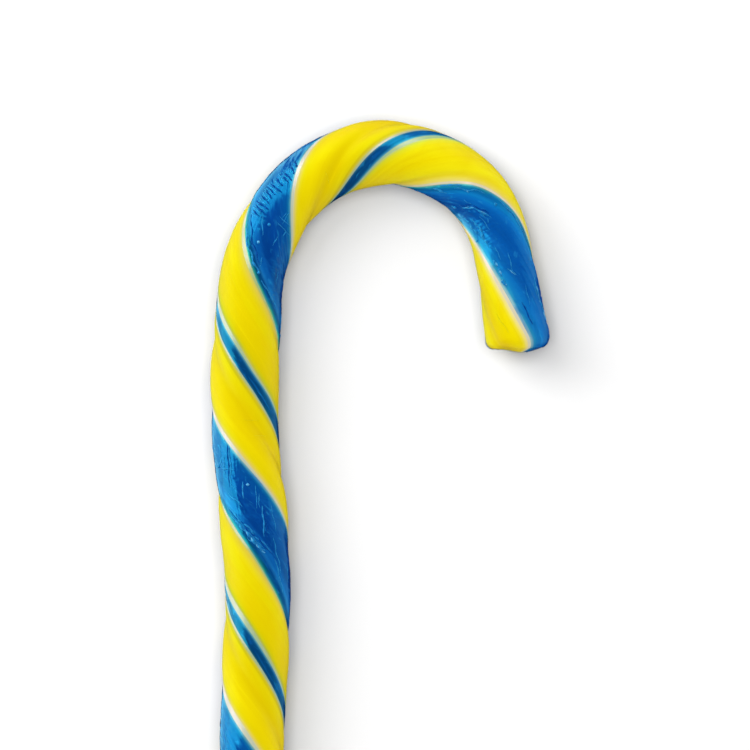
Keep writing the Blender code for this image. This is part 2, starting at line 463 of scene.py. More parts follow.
def seam_shares(angle):
    """How much each seam's stray and spread move a strand angle: its spread moves its sides apart."""
    strays, spreads = [0.0] * len(STRANDS), [0.0] * len(STRANDS)
    for i, ((start, end), next_start) in enumerate(zip(STRANDS, NEXT_STARTS)):
        past = (angle - start) % 360.0
        if past <= end - start + 1e-6:
            share = past / (end - start)
            strays[i - 1], strays[i] = 1.0 - share, share
            spreads[i - 1], spreads[i] = (1.0 - share) / 2, -share / 2
        elif past < next_start - start - 1e-6:
            strays[i] = 1.0
            spreads[i] = (past - (end - start)) / (next_start - end) - 0.5
    return strays, spreads


def section_object(name, rows):
    """The closed outline that a strand's sweep follows."""
    angle, depth, relief = (np.array(column) for column in zip(*rows))
    turn = np.radians(angle)
    points = np.column_stack([depth * np.sin(turn), depth * np.cos(turn), np.zeros(len(rows))])
    moves = [seam_shares(a) for a in angle]
    seams = {}
    for i in range(len(STRANDS)):
        seams[f"stray_share_{i}"] = [strays[i] for strays, _ in moves]
        seams[f"spread_share_{i}"] = [spreads[i] for _, spreads in moves]
    mesh = line_mesh(
        name,
        points * NOMINAL_RADIUS * MM,
        chain(len(rows)) + [(len(rows) - 1, 0)],
        strand_angle=angle,
        depth=depth,
        relief=relief,
        **seams,
    )
    section = bpy.data.objects.new(name, mesh)
    bpy.context.scene.collection.objects.link(section)
    return section


def new_tree(name, inputs, output):
    """A geometry tree with named inputs and one output, and the sockets of its inputs."""
    tree = bpy.data.node_groups.new(name, "GeometryNodeTree")
    for label, kind in inputs:
        tree.interface.new_socket(name=label, in_out="INPUT", socket_type="NodeSocket" + kind)
    tree.interface.new_socket(name=output, in_out="OUTPUT", socket_type="NodeSocketGeometry")
    return tree, add_node(tree, "NodeGroupInput").outputs


def lay_down(tree, geometry, place):
    """Moves a smooth skin's points to their place, but never below the worktop."""
    parts = add_node(tree, "ShaderNodeSeparateXYZ", {0: place}).outputs
    height = add_node(tree, "ShaderNodeMath", {0: parts["Z"], 1: 0.0}, operation="MAXIMUM")
    rested = add_node(tree, "ShaderNodeCombineXYZ", {"X": parts["X"], "Y": parts["Y"], "Z": height})
    formed = add_node(tree, "GeometryNodeSetPosition", {"Geometry": geometry, "Position": rested})
    return add_node(
        tree, "GeometryNodeSetShadeSmooth", {"Geometry": formed, "Shade Smooth": True}, domain="FACE"
    )


def finish_tree(tree, geometry, material):
    """Ends a tree with real geometry of one material."""
    realized = add_node(tree, "GeometryNodeRealizeInstances", {"Geometry": geometry})
    finished = add_node(tree, "GeometryNodeSetMaterial", {"Geometry": realized, "Material": material})
    add_node(tree, "NodeGroupOutput", {0: finished})


def sine_and_cosine(tree, angle):
    """The sine and the cosine of an angle in degrees."""
    turn = add_node(tree, "ShaderNodeMath", {0: angle}, operation="RADIANS")
    return [add_node(tree, "ShaderNodeMath", {0: turn}, operation=kind) for kind in ("SINE", "COSINE")]


def swinging_noise(tree, place, scale, detail, distortion=0.0):
    """Noise that swings to both sides of 0."""
    noise = add_node(
        tree,
        "ShaderNodeTexNoise",
        {"Vector": place, "Scale": scale, "Detail": detail, "Distortion": distortion},
    )
    return add_node(tree, "ShaderNodeMath", {0: noise, 1: 2.0, 2: -1.0}, operation="MULTIPLY_ADD")


def bell_nodes(tree, angle, centre, width):
    """A bell round an angle, as bell works it out."""
    away = add_node(tree, "ShaderNodeMath", {0: angle, 1: centre}, operation="SUBTRACT")
    wrapped = add_node(tree, "ShaderNodeMath", {0: away, 1: 180.0, 2: -180.0}, operation="WRAP")
    share = add_node(tree, "ShaderNodeMath", {0: wrapped, 1: width}, operation="DIVIDE")
    squared = add_node(tree, "ShaderNodeMath", {0: share, 1: share}, operation="MULTIPLY")
    halved = add_node(tree, "ShaderNodeMath", {0: squared, 1: -0.5}, operation="MULTIPLY")
    return add_node(tree, "ShaderNodeMath", {0: halved}, operation="EXPONENT")


def radius_nodes(tree, angle):
    """The nominal section's radius in mm at a strand angle, as section_radius works it out."""
    shift, towards = OFF_CENTRE
    away = add_node(tree, "ShaderNodeMath", {0: angle, 1: towards}, operation="SUBTRACT")
    turn = add_node(tree, "ShaderNodeMath", {0: away}, operation="RADIANS")
    cosine = add_node(tree, "ShaderNodeMath", {0: turn}, operation="COSINE")
    radius = add_node(
        tree, "ShaderNodeMath", {0: cosine, 1: shift, 2: NOMINAL_RADIUS}, operation="MULTIPLY_ADD"
    )
    for centre, height, width in LOBES + CREASES:
        lobe = bell_nodes(tree, angle, centre, width)
        radius = add_node(tree, "ShaderNodeMath", {0: lobe, 1: height, 2: radius}, operation="MULTIPLY_ADD")
    return radius


def relief_lines(tree, across, along, width, length, height, seed, sharpness=2.0, patchy=0.5):
    """Height of ridges that are thin across one way, long along it, and fade in and out in patches."""
    wide = add_node(tree, "ShaderNodeMath", {0: across, 1: width}, operation="DIVIDE")
    long = add_node(tree, "ShaderNodeMath", {0: along, 1: length}, operation="DIVIDE")
    place = add_node(tree, "ShaderNodeCombineXYZ", {"X": wide, "Y": long, "Z": seed})
    noise = swinging_noise(tree, place, 1.0, 1.5, 0.35)
    folded = add_node(tree, "ShaderNodeMath", {0: noise}, operation="ABSOLUTE")
    ridge = add_node(tree, "ShaderNodeMath", {0: 1.0, 1: folded}, operation="SUBTRACT")
    sharp = add_node(tree, "ShaderNodeMath", {0: ridge, 1: sharpness * 3.0}, operation="POWER")
    spread = add_node(tree, "ShaderNodeVectorMath", {0: place, "Scale": PATCH_SCALE}, operation="SCALE")
    patches = add_node(tree, "ShaderNodeTexNoise", {"Vector": spread, "Scale": 1.0, "Detail": 0.0})
    mask = add_node(
        tree,
        "ShaderNodeMapRange",
        {"Value": patches, "From Min": patchy - PATCH_EDGES[0], "From Max": patchy + PATCH_EDGES[1]},
        interpolation_type="SMOOTHSTEP",
    )
    shown = add_node(tree, "ShaderNodeMath", {0: sharp, 1: mask}, operation="MULTIPLY")
    return add_node(tree, "ShaderNodeMath", {0: shown, 1: height}, operation="MULTIPLY")


STRAND_INPUTS = (
    ("Rail", "Geometry"),
    ("Section", "Object"),
    ("Material", "Material"),
    ("Wander", "Float"),
    ("Unevenness", "Float"),
    ("Flow Height", "Float"),
    ("Flow Width", "Float"),
    ("Flow Length", "Float"),
    ("Scratch Height", "Float"),
    ("Wrinkle Height", "Float"),
    ("Wrinkle Width", "Float"),
    ("Seed", "Float"),
)


def carried_values(tree):
    """What the rail and the section know about each of their points, by name."""
    numbers = ["strand_angle", "distance", "facing", "thickness", "end_share", "depth", "relief", "foot"]
    for i in range(len(STRANDS)):
        numbers += [f"stray_{i}", f"spread_{i}", f"stray_share_{i}", f"spread_share_{i}"]
    kinds = dict.fromkeys(numbers, "FLOAT")
    kinds.update(dict.fromkeys(("axis_place", "up_way", "side_way", "slant_way"), "FLOAT_VECTOR"))
    return {
        name: add_node(tree, "GeometryNodeInputNamedAttribute", {"Name": name}, data_type=kind)
        for name, kind in kinds.items()
    }


def nominal_place(tree, angle, distance):
    """A place on the nominal stick, in mm, on which all unevenness is laid so that borders still meet."""
    sine, cosine = sine_and_cosine(tree, angle)
    ring = add_node(tree, "ShaderNodeCombineXYZ", {"X": sine, "Y": cosine})
    scaled = add_node(tree, "ShaderNodeVectorMath", {0: ring, "Scale": NOMINAL_RADIUS}, operation="SCALE")
    lengthwise = add_node(tree, "ShaderNodeCombineXYZ", {"Z": distance})
    return add_node(tree, "ShaderNodeVectorMath", {0: scaled, 1: lengthwise}, operation="ADD")


def wandering_angle(tree, place, wander, value):
    """The strand angle, moved as the borders wander and the seams stray and widen."""
    stray = swinging_noise(tree, place, WANDER_SCALE, 1.5)
    angle = add_node(
        tree, "ShaderNodeMath", {0: stray, 1: wander, 2: value["strand_angle"]}, operation="MULTIPLY_ADD"
    )
    for i in range(len(STRANDS)):
        for kind in ("stray", "spread"):
            angle = add_node(
                tree,
                "ShaderNodeMath",
                {0: value[f"{kind}_share_{i}"], 1: value[f"{kind}_{i}"], 2: angle},
                operation="MULTIPLY_ADD",
            )
    return angle


def relief_height(tree, place, given, value):
    """Height of the whole skin's unevenness and of a strand's own relief, which fades out at its borders."""
    lumps = swinging_noise(tree, place, LUMP_SCALE, 1.0)
    uneven = add_node(tree, "ShaderNodeMath", {0: lumps, 1: given["Unevenness"]}, operation="MULTIPLY")
    angle, distance, seed = value["strand_angle"], value["distance"], given["Seed"]
    arc = math.radians(1.0) * NOMINAL_RADIUS
    across = add_node(tree, "ShaderNodeMath", {0: angle, 1: arc}, operation="MULTIPLY")
    from_up = add_node(tree, "ShaderNodeMath", {0: angle, 1: value["facing"]}, operation="SUBTRACT")
    round_stick = add_node(tree, "ShaderNodeMath", {0: from_up, 1: arc}, operation="MULTIPLY")
    size = (given["Flow Width"], given["Flow Length"])
    flow = relief_lines(tree, across, distance, *size, given["Flow Height"], seed)
    height = given["Scratch Height"]
    scratches = relief_lines(tree, round_stick, distance, *SCRATCH_SIZE, height, seed, 3.0, 0.52)
    size = (given["Wrinkle Width"], WRINKLE_LENGTH)
    wrinkles = relief_lines(
        tree, distance, round_stick, *size, given["Wrinkle Height"], seed, patchy=0.52
    )
    lines = add_node(tree, "ShaderNodeMath", {0: flow, 1: scratches}, operation="ADD")
    both = add_node(tree, "ShaderNodeMath", {0: lines, 1: wrinkles}, operation="SUBTRACT")
    return add_node(
        tree, "ShaderNodeMath", {0: both, 1: value["relief"], 2: uneven}, operation="MULTIPLY_ADD"
    )


def skin_radius(tree, angle, turned, height, value):
    """The section's radius in metres, never past an end's rounding, swollen by the relief in proportion."""
    foot = bell_nodes(tree, turned, FOOT_TURN, FOOT_WIDTH)
    nominal = radius_nodes(tree, angle)
    full = add_node(
        tree, "ShaderNodeMath", {0: foot, 1: value["foot"], 2: nominal}, operation="MULTIPLY_ADD"
    )
    share = add_node(tree, "ShaderNodeMath", {0: value["depth"], 1: value["end_share"]}, operation="MINIMUM")
    inside = add_node(tree, "ShaderNodeMath", {0: full, 1: share}, operation="MULTIPLY")
    plain = add_node(tree, "ShaderNodeMath", {0: inside, 1: value["thickness"]}, operation="MULTIPLY")
    metres = add_node(tree, "ShaderNodeMath", {0: plain, 1: MM}, operation="MULTIPLY")
    swelling = add_node(
        tree, "ShaderNodeMath", {0: height, 1: 1.0 / (NOMINAL_RADIUS * MM), 2: 1.0}, operation="MULTIPLY_ADD"
    )
    return add_node(tree, "ShaderNodeMath", {0: metres, 1: swelling}, operation="MULTIPLY")


def slanted_axis(tree, aside, value):
    """The axis's place, pushed out for the half of the tip's face away from where side_way points."""
    beside = add_node(tree, "ShaderNodeMath", {0: aside, 1: value["end_share"]}, operation="MULTIPLY")
    slant = add_node(
        tree,
        "ShaderNodeMapRange",
        {"Value": beside, "From Min": TIP_SLANT_SPAN[0], "From Max": TIP_SLANT_SPAN[1]},
        interpolation_type="SMOOTHSTEP",
    )
    pushed = add_node(
        tree, "ShaderNodeVectorMath", {0: value["slant_way"], "Scale": slant}, operation="SCALE"
    )
    return add_node(tree, "ShaderNodeVectorMath", {0: value["axis_place"], 1: pushed}, operation="ADD")


def strand_tree():
    """Geometry Nodes that sweep a section along the rail, twist it and raise its relief."""
    tree, given = new_tree("twisted_strand", STRAND_INPUTS, "Strand")
    rail = add_node(tree, "GeometryNodeMeshToCurve", {"Mesh": given["Rail"]})
    outline = add_node(tree, "GeometryNodeObjectInfo", {"Object": given["Section"]}).outputs["Geometry"]
    section = add_node(tree, "GeometryNodeMeshToCurve", {"Mesh": outline})
    swept = add_node(
        tree, "GeometryNodeCurveToMesh", {"Curve": rail, "Profile Curve": section, "Fill Caps": True}
    )
    value = carried_values(tree)
    place = nominal_place(tree, value["strand_angle"], value["distance"])
    angle = wandering_angle(tree, place, given["Wander"], value)
    turned = add_node(tree, "ShaderNodeMath", {0: angle, 1: value["facing"]}, operation="SUBTRACT")
    height = relief_height(tree, place, given, value)
    radius = skin_radius(tree, angle, turned, height, value)

    aside, above = sine_and_cosine(tree, turned)
    sideways = add_node(
        tree, "ShaderNodeVectorMath", {0: value["side_way"], "Scale": aside}, operation="SCALE"
    )
    upwards = add_node(tree, "ShaderNodeVectorMath", {0: value["up_way"], "Scale": above}, operation="SCALE")
    way = add_node(tree, "ShaderNodeVectorMath", {0: sideways, 1: upwards}, operation="ADD")
    spoke = add_node(tree, "ShaderNodeVectorMath", {0: way, "Scale": radius}, operation="SCALE")
    centre = slanted_axis(tree, aside, value)
    free = add_node(tree, "ShaderNodeVectorMath", {0: centre, 1: spoke}, operation="ADD")
    smooth = lay_down(tree, swept, free)

    bend = add_node(tree, "GeometryNodeInputMeshEdgeAngle")
    sharp = add_node(
        tree, "FunctionNodeCompare", {0: bend, 1: math.radians(SHARP_EDGE)}, operation="GREATER_THAN"
    )
    edged = add_node(
        tree,
        "GeometryNodeSetShadeSmooth",
        {"Geometry": smooth, "Selection": sharp, "Shade Smooth": False},
        domain="EDGE",
    )
    finish_tree(tree, edged, given["Material"])
    return tree


def run_nodes(name, base, tree_name, make_tree, inputs):
    """Runs a node tree on a base mesh and keeps the result as a plain piece of the cane."""
    tree = bpy.data.node_groups.get(tree_name) or make_tree()
    worker = bpy.data.objects.new(name, base)
    bpy.context.scene.collection.objects.link(worker)
    modifier = worker.modifiers.new(tree.name, "NODES")
    modifier.node_group = tree
    for item in tree.interface.items_tree:
        if item.in_out == "INPUT" and item.name in inputs:
            modifier[item.identifier] = inputs[item.name]
    bpy.context.view_layer.update()
    evaluated = worker.evaluated_get(bpy.context.evaluated_depsgraph_get())
    mesh = bpy.data.meshes.new_from_object(evaluated)
    mesh.name = name
    worker.modifiers.remove(modifier)
    worker.data = mesh
    close_and_check(worker)
    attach(worker, BODY)
    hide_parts(NODE)


def close_and_check(piece):
    """Makes sure that a piece is closed and faces outwards."""
    shape = bmesh.new()
    shape.from_mesh(piece.data)
    open_edges = sum(1 for edge in shape.edges if not edge.is_manifold)
    volume = shape.calc_volume(signed=True)
    if volume < 0.0:
        bmesh.ops.reverse_faces(shape, faces=shape.faces)
        shape.to_mesh(piece.data)
    shape.free()
    if open_edges or len(piece.data.polygons) == 0:
        raise RuntimeError(f"{piece.name} has {open_edges} open edges")


# Materials

BEND_FROM = 146.0  # mm from the lower end, where the colours begin to give way to the bend's, most of them lighter
BEND_TO = 168.0
BORDER_WOBBLE = 0.5  # degrees by which the bands of colour across a strand stray


def with_alpha(colour):
    return tuple(colour) + (1.0,)


def new_material(name):
    """A new material, its node tree and its shader."""
    material = bpy.data.materials.new(name)
    material.use_nodes = True
    return material, material.node_tree, material.node_tree.nodes["Principled BSDF"]


def angle_and_distance(tree):
    """Where on the stick a spot of sugar is: its strand angle in degrees and its distance in mm."""
    names = ("strand_angle", "distance")
    return [add_node(tree, "ShaderNodeAttribute", attribute_name=name).outputs["Fac"] for name in names]


def finish_sugar(tree, shader, colour, grain, roughness, span=(0.0, 1.0), bump=None):
    """Gives a sugar its colour, and a gloss and a skin that are as uneven as its grain."""
    tree.links.new(colour, shader.inputs["Base Color"])
    low, high = span
    dull = add_node(
        tree,
        "ShaderNodeMapRange",
        {"Value": grain, "From Min": low, "From Max": high, "To Min": roughness[0], "To Max": roughness[1]},
    )
    tree.links.new(dull.outputs[0], shader.inputs["Roughness"])
    if bump:
        strength, depth = bump
        skin = add_node(tree, "ShaderNodeBump", {"Height": grain, "Strength": strength, "Distance": depth})
        tree.links.new(skin.outputs[0], shader.inputs["Normal"])


def band_colour(tree, angle, bands):
    """Colour by strand angle, from a list of strand angles and colours."""
    first, last = bands[0][0], bands[-1][0]
    share = add_node(tree, "ShaderNodeMapRange", {"Value": angle, "From Min": first, "From Max": last})
    ramp = add_node(tree, "ShaderNodeValToRGB", {0: share})
    stops = ramp.color_ramp.elements
    while len(stops) < len(bands):
        stops.new(0.5)
    for stop, (where, colour) in zip(stops, bands):
        stop.position = (where - first) / (last - first)
        stop.color = from_hex(colour)
    return ramp.outputs["Color"]


def bands_in_bend(tree, angle, distance, bands, bend_bands):
    """Bands of colour that give way to the bend's own bands, most of them lighter, between BEND_FROM and
    BEND_TO.
    """
    bent = add_node(
        tree,
        "ShaderNodeMapRange",
        {"Value": distance, "From Min": BEND_FROM, "From Max": BEND_TO},
        interpolation_type="SMOOTHSTEP",
    )
    straight, drawn = band_colour(tree, angle, bands), band_colour(tree, angle, bend_bands)
    return add_node(tree, "ShaderNodeMix", {0: bent, 6: straight, 7: drawn}, data_type="RGBA").outputs[2]


def banded_sugar(name, bands, bend_bands, streaks, roughness, ior, specular_tint):
    """Shared by the coloured sugars: bands across a strand, other bands in the bend, and long streaks."""
    material, tree, shader = new_material(name)
    angle, distance = angle_and_distance(tree)
    arc = math.radians(NOMINAL_RADIUS)
    across = add_node(tree, "ShaderNodeMath", {0: angle, 1: arc}, operation="MULTIPLY")
    place = add_node(tree, "ShaderNodeCombineXYZ", {"X": across, "Y": distance})

    ragged = add_node(tree, "ShaderNodeTexNoise", {"Vector": place, "Scale": 0.9, "Detail": 3.0})
    wobble = add_node(
        tree,
        "ShaderNodeMath",
        {0: ragged, 1: BORDER_WOBBLE * 2.0, 2: -BORDER_WOBBLE},
        operation="MULTIPLY_ADD",
    )
    strayed = add_node(tree, "ShaderNodeMath", {0: angle, 1: wobble}, operation="ADD")
    colour = bands_in_bend(tree, strayed, distance, bands, bend_bands)
    # A streak has its size in mm, its colour and strength, the range of the noise that shows, and a seed.
    for width, length, tint, amount, low, high, seed in streaks:
        drawn = add_node(
            tree,
            "ShaderNodeMapping",
            {
                "Vector": place,
                "Location": (seed * 7.3, seed * 3.1, 0.0),
                "Scale": (1 / width, 1 / length, 1.0),
            },
        )
        noise = add_node(
            tree, "ShaderNodeTexNoise", {"Vector": drawn, "Scale": 1.0, "Detail": 2.5, "Distortion": 0.8}
        )
        shown = add_node(
            tree,
            "ShaderNodeMapRange",
            {"Value": noise, "From Min": low, "From Max": high, "To Max": amount},
            interpolation_type="SMOOTHSTEP",
        )
        mixed = add_node(tree, "ShaderNodeMix", {0: shown, 6: colour, 7: from_hex(tint)}, data_type="RGBA")
        colour = mixed.outputs[2]

    grain = add_node(tree, "ShaderNodeTexNoise", {"Vector": place, "Scale": 1.6, "Detail": 4.0})
    finish_sugar(tree, shader, colour, grain, roughness, span=(0.3, 0.7), bump=(0.4, 0.00003))
    shader.inputs["IOR"].default_value = ior
    shader.inputs["Specular Tint"].default_value = specular_tint
    return material


def yellow_sugar(name, bands, bend_bands):
    """Pulled boiled sugar: opaque with trapped air, so a satin body colour under a soft gloss."""
    streaks = (
        (1.6, 18.0, "d9b800", 0.35, 0.45, 0.75, 1.0),
        (0.8, 10.0, "eed90a", 0.3, 0.55, 0.8, 2.0),
        (5.0, 6.0, "dcbc00", 0.3, 0.4, 0.7, 3.0),
    )
    return banded_sugar(name, bands, bend_bands, streaks, (0.34, 0.45), 1.45, (0.4, 1.0, 0.02, 1.0))


def blue_sugar(name, bands, bend_bands):
    """Boiled sugar dyed through: clear and glassy, so it is deep where it is thick and glossy on top."""
    streaks = (
        (2.4, 11.0, "013380", 0.35, 0.45, 0.65, 4.0),
        (1.0, 7.0, "0e66b4", 0.4, 0.56, 0.72, 5.0),
        (1.6, 2.6, "0a58a8", 0.35, 0.52, 0.7, 6.0),
        (1.1, 2.2, "2088c6", 0.5, 0.6, 0.76, 7.0),
    )
    return banded_sugar(name, bands, bend_bands, streaks, (0.15, 0.26), 1.6, (0.08, 0.85, 1.0, 1.0))


def cream_sugar():
    """Uncoloured pulled sugar: full of fine air, cream white, and tinted where a colour has bled into it.
    Its seam bands are darker and greyer than cream, partly for that bled colour and partly as painted shade
    in the seams' grooves.
    """
    material, tree, shader = new_material("cream_sugar")
    angle, distance = angle_and_distance(tree)
    place = add_node(tree, "ShaderNodeTexCoord").outputs["Object"]
    noise = add_node(tree, "ShaderNodeTexNoise", {"Vector": place, "Scale": 900.0, "Detail": 3.0})
    # Partly painted shade: these seam colours are darker than the cream.
    bands = (
        (-20.0, "97ab80"), (4.0, "96af87"), (100.0, "99ae73"), (124.0, "99ae73"),
        (216.0, "acb7a3"), (244.0, "b4b99f"), (330.0, "97ab80"), (345.0, "97ab80"),
    )
    bend_bands = (
        (-20.0, "adb092"), (4.0, "92b87e"), (100.0, "c9c0a0"), (216.0, "cdc6aa"),
        (345.0, "adac85"),
    )
    colour = bands_in_bend(tree, angle, distance, bands, bend_bands)
    cream = with_alpha(bpy.context.scene.cane_colours.cream)
    specked = add_node(
        tree, "ShaderNodeMapRange", {"Value": noise, "From Min": 0.5, "From Max": 0.8, "To Max": 0.4}
    )
    mixed = add_node(tree, "ShaderNodeMix", {0: specked, 6: colour, 7: cream}, data_type="RGBA").outputs[2]
    finish_sugar(tree, shader, mixed, noise, (0.25, 0.4), bump=(0.3, 0.00002))
    shader.inputs["IOR"].default_value = 1.55
    return material


THREAD_STEP = 0.12  # mm between the points of a thread
FEWEST_STEPS = 8  # of a thread, however short it is
THREAD_SIDES = 8  # sides of a thread's round section
THREAD_TIP = 0.01  # mm, half the width at the ends of a thread
THREAD_CLEARANCE = 3.5  # degrees between a strand's border and the threads on it
WAVER_RATE = 1.7  # radians a mm
WAVER_ALONG = 0.4  # share of the wavering that runs along the stick
SWELL_RATE = 4.7  # radians a mm
SWELL = 0.25  # share of the width that comes and goes along a thread

THREAD_INPUTS = (
    ("Lines", "Geometry"),
    ("Skin", "Object"),
    ("Material", "Material"),
    ("Sides", "Int"),
)


def thread_tree():
    """Geometry Nodes that lay lines on a strand's skin and draw each out into a thread of sugar."""
    tree, given = new_tree("drawn_threads", THREAD_INPUTS, "Threads")
    skin = add_node(tree, "GeometryNodeObjectInfo", {"Object": given["Skin"]}).outputs["Geometry"]
    nearest = add_node(tree, "GeometryNodeProximity", {0: skin}, target_element="FACES").outputs["Position"]
    laid = add_node(tree, "GeometryNodeSetPosition", {"Geometry": given["Lines"], "Position": nearest})
    line = add_node(tree, "GeometryNodeMeshToCurve", {"Mesh": laid})
    width = add_node(tree, "GeometryNodeInputNamedAttribute", {"Name": "half_width"}, data_type="FLOAT")
    circle = add_node(
        tree, "GeometryNodeCurvePrimitiveCircle", {"Resolution": given["Sides"], "Radius": 1.0}
    )
    swept = add_node(
        tree,
        "GeometryNodeCurveToMesh",
        {"Curve": line, "Profile Curve": circle, "Scale": width, "Fill Caps": True},
    )
    smooth = lay_down(tree, swept, add_node(tree, "GeometryNodeInputPosition"))
    finish_tree(tree, smooth, given["Material"])
    return tree


def within_wide_blue(distance, angle):
    """Strand angles kept clear of the wide blue strand's two borders, wherever the seams have strayed to."""
    borders = []
    for seam, border, side in ((1, WIDE_BLUE[0], 1.0), (2, WIDE_BLUE[1], -1.0)):
        places, strays, spreads = (np.array(column) for column in zip(*SEAM_STRAYS[seam]))
        strayed = np.interp(distance, places, strays + side * spreads / 2)
        borders.append(border + side * THREAD_CLEARANCE + strayed)
    return np.clip(angle % 360.0, *borders)


def thread_lines(name, stick, strokes, keep_within):
    """A mesh of separate lines on the stick's skin, thin at their ends, from a list of strokes."""
    points, edges, widths = [], [], []
    for number, (start, start_turn, end, end_turn, half_width, waver) in enumerate(strokes):
        length = math.hypot(end - start, math.radians(end_turn - start_turn) * NOMINAL_RADIUS)
        count = max(int(length / THREAD_STEP), FEWEST_STEPS)
        share = np.linspace(0.0, 1.0, count + 1)
        wave = waver * np.sin(share * length * WAVER_RATE + number) * np.sin(math.pi * share)
        distance = start + (end - start) * share + wave * WAVER_ALONG
        turn = start_turn + (end_turn - start_turn) * share + np.degrees(wave / NOMINAL_RADIUS)
        angle = turn + stick.at(stick.facing, distance)
        if keep_within:
            angle = keep_within(distance, angle)
        edges += chain(count + 1, first=len(points))
        points += list(stick.place(distance, angle) * MM)
        swell = 1.0 - SWELL + SWELL * np.sin(share * length * SWELL_RATE + number * 2.0)
        taper = np.sqrt(np.clip(1.0 - (2.0 * share - 1.0) ** 2, 0.0, 1.0))
        widths += list(MM * (THREAD_TIP + half_width * taper * swell))
    return line_mesh(name, points, edges, half_width=widths)


def thread_sugar(name, colour, ior, specular_tint):
    """Sugar of a thread: mottled between its colour and a darker one, with a gloss like the strand's. The
    blue threads are lighter than the strand partly as painted highlight, the pale ones carry painted glints,
    and the hollows' ones are dark as painted shade.
    """
    material, tree, shader = new_material(name)
    place = add_node(tree, "ShaderNodeTexCoord").outputs["Object"]
    noise = add_node(tree, "ShaderNodeTexNoise", {"Vector": place, "Scale": 1500.0, "Detail": 2.0})
    darker, lighter = with_alpha(0.6 * c for c in colour), with_alpha(colour)
    mixed = add_node(tree, "ShaderNodeMix", {0: noise, 6: darker, 7: lighter}, data_type="RGBA")
    finish_sugar(tree, shader, mixed.outputs[2], noise, (0.2, 0.4))
    shader.inputs["IOR"].default_value = ior
    shader.inputs["Specular Tint"].default_value = specular_tint
    return material


def make_threads(name, strokes, skin, material, keep_within=None):
    """Threads of sugar laid on one piece's skin."""
    lines = thread_lines(name, Stick(bpy.context.scene.cane_sizes), strokes, keep_within)
    inputs = {"Skin": bpy.data.objects[skin], "Material": material, "Sides": THREAD_SIDES}
    run_nodes(name, lines, "drawn_threads", thread_tree, inputs)


def sweep_piece(name, rows, from_share, material, relief):
    """A piece of the cane: the outline that the rows give, swept along the stick."""
    sizes = bpy.context.scene.cane_sizes
    section = section_object(name + "_section", rows)
    inputs = {
        "Section": section,
        "Material": material,
        "Wander": sizes.wander,
        "Unevenness": UNEVENNESS,
        "Flow Width": 0.9,
        "Flow Length": 12.0,
        "Wrinkle Width": 0.6,
        "Seed": float(sizes.seed),
    }
    inputs.update(relief)
    rail = rail_mesh(Stick(sizes), sizes.grain, from_share)
    run_nodes(name, rail, "twisted_strand", strand_tree, inputs)
    bpy.data.objects.remove(section)


def make_strand(name, span, columns, material, relief):
    """One coloured strand, between two strand angles."""
    start, end = span
    rows = skin_points(start, end, columns) + hidden_points(end, start)
    sweep_piece(name, rows, CORE_SHARE, material, relief)


class CANDY_OT_core(bpy.types.Operator):
    """Makes the cream core, which shows as the seams between the strands and at the ends"""

    bl_idname = "candy.make_core"
    bl_label = "Cream core"

    def execute(self, context):
        rows = []
        for (start, end), next_start in zip(STRANDS, NEXT_STARTS):
            rows += hidden_points(start, end)
            rows += skin_points(end, next_start, SEAM_COLUMNS)
        sweep_piece("cream_core", rows, 0.0, cream_sugar(), {})
        return {"FINISHED"}


# Colours across each strand, by strand angle: at its borders the dye has bled into its neighbour. Some bands
# are painted light, as noted above each table: shade in the yellow's creases, and glints on the wide blue.
THIN_BANDS = (
    (-16.0, "4a7a78"), (-14.5, "1a5468"), (-12.5, "063f60"), (-10.5, "02376a"),
    (-1.0, "033c70"), (2.0, "0a4c7c"), (3.5, "1d6088"), (5.5, "4a8a9c"),
    (7.5, "7aa3a2"),
)
THIN_BEND_BANDS = (
    (-16.0, "8aa8a8"), (-13.5, "3a7a90"), (-11.5, "125488"), (-8.0, "085693"),
    (-5.5, "1062a4"), (-3.0, "06518f"), (0.0, "04538b"), (2.0, "126e9b"),
    (4.5, "2c86ac"), (7.5, "62a0a8"),
)
# Partly painted shade: the bands from 105 to 115.5 darken into the crease at 112, not only because of the
# bled blue.
BROAD_BANDS = (
    (10.5, "a3ae74"), (12.5, "a6aa54"), (15.0, "b0ae30"), (18.0, "c4bc12"),
    (24.0, "d3bf02"), (34.0, "dbc200"), (60.0, "dfc500"), (78.0, "dfca01"),
    (92.0, "e1cc05"), (99.0, "e0ca14"), (105.0, "dcc62c"), (109.0, "d7bf40"),
    (112.0, "cfb950"), (115.5, "b2b265"),
)
BROAD_BEND_BANDS = (
    (10.5, "bfc98a"), (13.0, "cbd760"), (18.0, "dfd92c"), (28.0, "e6d60c"),
    (60.0, "e4cc02"), (88.0, "e8d80e"), (100.0, "e4cf20"), (107.0, "e0cc44"),
    (112.0, "dac768"), (115.5, "d2c68a"),
)
# Partly painted highlight: the lighter bands at 134 to 137, and at 138 in the bend, stand for the glints of
# the row of beads beside the strand's lower border.
WIDE_BANDS = (
    (117.5, "7ab070"), (119.0, "4fa578"), (120.5, "269078"), (122.0, "0f7479"),
    (124.0, "04566e"), (126.5, "02426e"), (130.0, "023e7c"), (134.0, "1967a6"),
    (137.0, "136cb4"), (142.0, "0655a2"), (149.0, "07509f"), (154.0, "013a88"),
    (163.0, "013886"), (185.0, "023d90"), (205.0, "034391"), (217.0, "024e97"),
    (222.0, "0b6498"), (225.0, "3f8aa4"), (228.5, "88ada2"),
)
WIDE_BEND_BANDS = (
    (117.5, "97b897"), (119.5, "5aa79a"), (122.0, "2390a0"), (126.0, "0c77a4"),
    (132.0, "066ca8"), (138.0, "0a76ba"), (144.0, "0768b8"), (152.0, "0457aa"),
    (165.0, "034da0"), (182.0, "0350a4"), (195.0, "085cae"), (206.0, "0a68b4"),
    (216.0, "137abb"), (222.0, "2c93b7"), (228.5, "a9c8be"),
)
